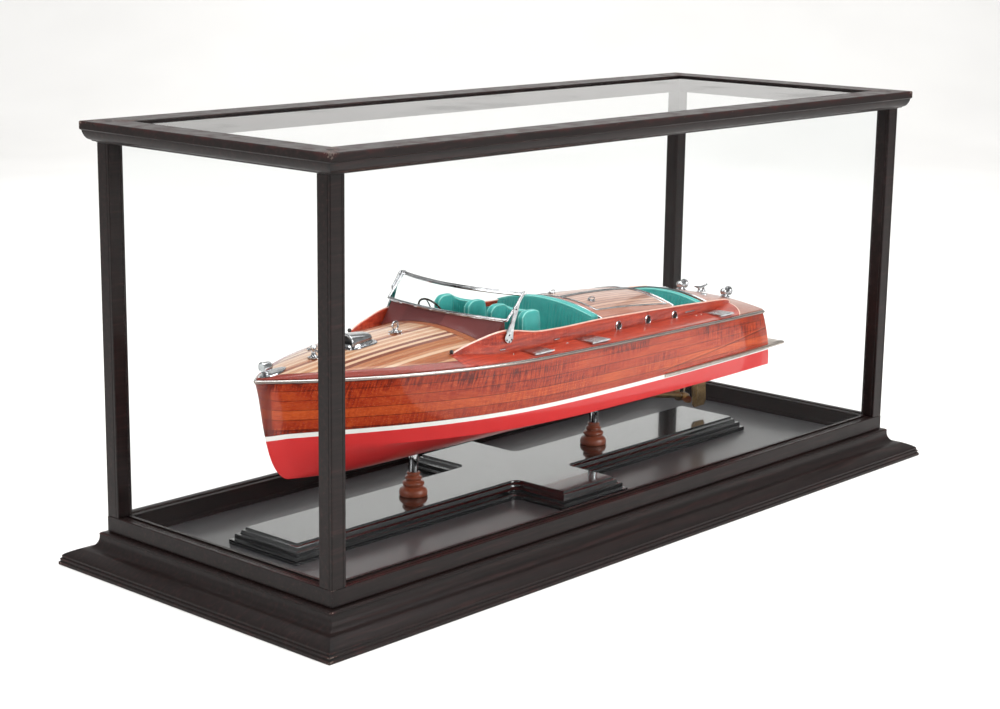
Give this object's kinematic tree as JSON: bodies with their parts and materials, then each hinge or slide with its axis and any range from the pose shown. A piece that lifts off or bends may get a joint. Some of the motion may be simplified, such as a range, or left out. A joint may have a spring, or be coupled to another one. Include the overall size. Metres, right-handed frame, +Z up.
{
  "type": "runabout motorboat model in a display case",
  "caption": "Planked mahogany runabout model with upholstered cockpits and radio gear, on a cross-shaped stand inside a glazed display case with a lift-off hood.",
  "frame": {"origin": "centre of the underside of the display case, on the surface it stands on", "axes": "+X towards the bow, along the case; +Y to port; +Z up"},
  "size_m": [1.016, 0.41, 0.4588],
  "materials": {
    "ebony_wood": "near-black mahogany stain, satin lacquer, reddish where it is worn on the edges",
    "floor_black": "satin dark grey paint",
    "clear_pane": "clear, polished edges",
    "stand_black": "piano black lacquer",
    "rosewood": "turned reddish wood, gloss",
    "chrome_trim": "polished",
    "hull_mahogany": "mahogany planks with fiddleback figure, gloss varnish, white boot stripe, red bottom paint",
    "deck_planks": "blonde, orange and brown planks under gloss varnish",
    "red_mahogany": "red mahogany, gloss varnish",
    "plum_wood": "purple-brown wood, semi gloss",
    "sole_ply": "varnished plywood",
    "turquoise_vinyl": "turquoise upholstery vinyl, fine grain, piped seams",
    "windshield_clear": "clear sheet",
    "brass": "polished",
    "steel": "ground steel",
    "black_plastic": "satin black",
    "battery_wrap": "blue heat-shrink wrap"
  },
  "bodies": {
    "root": {"base_moulding": "ebony_wood", "floor_panel": "floor_black", "stand_board": "stand_black", "pedestal_fore": "rosewood", "pedestal_aft": "rosewood", "pedestal_rod_fore": "chrome_trim", "pedestal_rod_aft": "chrome_trim", "hull": "hull_mahogany", "foredeck": "deck_planks", "side_deck_port": "red_mahogany", "side_deck_starboard": "red_mahogany", "coaming_port": "red_mahogany", "coaming_starboard": "red_mahogany", "engine_deck": "deck_planks", "stern_deck": "deck_planks", "rub_rail": "chrome_trim", "swim_plate": "chrome_trim", "windshield_frame": "chrome_trim", "windshield_glass": "windshield_clear", "cowl_panel": "plum_wood", "windshield_bracket_port": "chrome_trim", "windshield_bracket_starboard": "chrome_trim", "steering_column": "chrome_trim", "front_sole": "sole_ply", "rear_sole": "sole_ply", "front_seat_port": "turquoise_vinyl", "front_seat_starboard": "turquoise_vinyl", "bench_seat": "turquoise_vinyl", "rear_seat": "turquoise_vinyl", "bow_light": "chrome_trim", "deck_vent": "chrome_trim", "lifting_ring": "chrome_trim", "stern_vent_port": "chrome_trim", "stern_vent_starboard": "chrome_trim", "stern_cleat": "chrome_trim", "stern_tube": "brass", "motor": "black_plastic", "battery": "battery_wrap", "receiver": "black_plastic", "servo": "black_plastic"},
    "hood": {"hood_bottom_rail": "ebony_wood", "post_bow_port": "ebony_wood", "post_bow_starboard": "ebony_wood", "post_stern_port": "ebony_wood", "post_stern_starboard": "ebony_wood", "top_frame": "ebony_wood", "pane_top": "clear_pane", "pane_bow": "clear_pane", "pane_stern": "clear_pane", "pane_port": "clear_pane", "pane_starboard": "clear_pane"},
    "hatch_port": {"hatch_port": "deck_planks"},
    "hatch_starboard": {"hatch_starboard": "deck_planks"},
    "wheel": {"steering_wheel": "black_plastic"},
    "propulsion": {"prop_shaft": "steel", "propeller": "brass"},
    "servo_arm": {"servo_horn": "black_plastic"},
    "rudder": {"rudder": "brass", "tiller": "brass"},
    "pushrod": {"pushrod": "steel"}
  },
  "joints": [
    {"name": "hood_lift", "type": "slide", "parent": "root", "child": "hood", "axis": [0, 0, 1], "range_m": [0, 0.3]},
    {"name": "hatch_port_hinge", "type": "hinge", "parent": "root", "child": "hatch_port", "pos_m": [-0.053, 0.0453, 0.22771], "axis": [-0.996, 0.0567, -0.0686], "range_deg": [0, 95]},
    {"name": "hatch_starboard_hinge", "type": "hinge", "parent": "root", "child": "hatch_starboard", "pos_m": [-0.053, -0.0653, 0.22771], "axis": [0.996, 0.0567, 0.0686], "range_deg": [0, 95]},
    {"name": "steering_wheel_turn", "type": "hinge", "parent": "root", "child": "wheel", "pos_m": [0.116, -0.05, 0.2345], "axis": [-0.866, 0, 0.5], "range_deg": [-180, 180]},
    {"name": "shaft_spin", "type": "hinge", "parent": "root", "child": "propulsion", "pos_m": [-0.296, -0.01, 0.077], "axis": [0.9833, 0, 0.1822], "continuous": true},
    {"name": "servo_turn", "type": "hinge", "parent": "root", "child": "servo_arm", "pos_m": [-0.276, -0.01, 0.128], "axis": [0, 0, 1], "range_deg": [-35, 35]},
    {"name": "rudder_turn", "type": "hinge", "parent": "root", "child": "rudder", "pos_m": [-0.322, -0.01, 0.1], "axis": [0, 0, 1], "range_deg": [-35, 35]},
    {"name": "pushrod_pivot", "type": "hinge", "parent": "servo_arm", "child": "pushrod", "pos_m": [-0.276, 0.006, 0.13], "axis": [0, 0, 1], "range_deg": [-35, 35]}
  ],
  "couplings": [
    {"joint": "rudder_turn", "follows": "servo_turn", "ratio": 1},
    {"joint": "pushrod_pivot", "follows": "servo_turn", "ratio": -1}
  ]
}
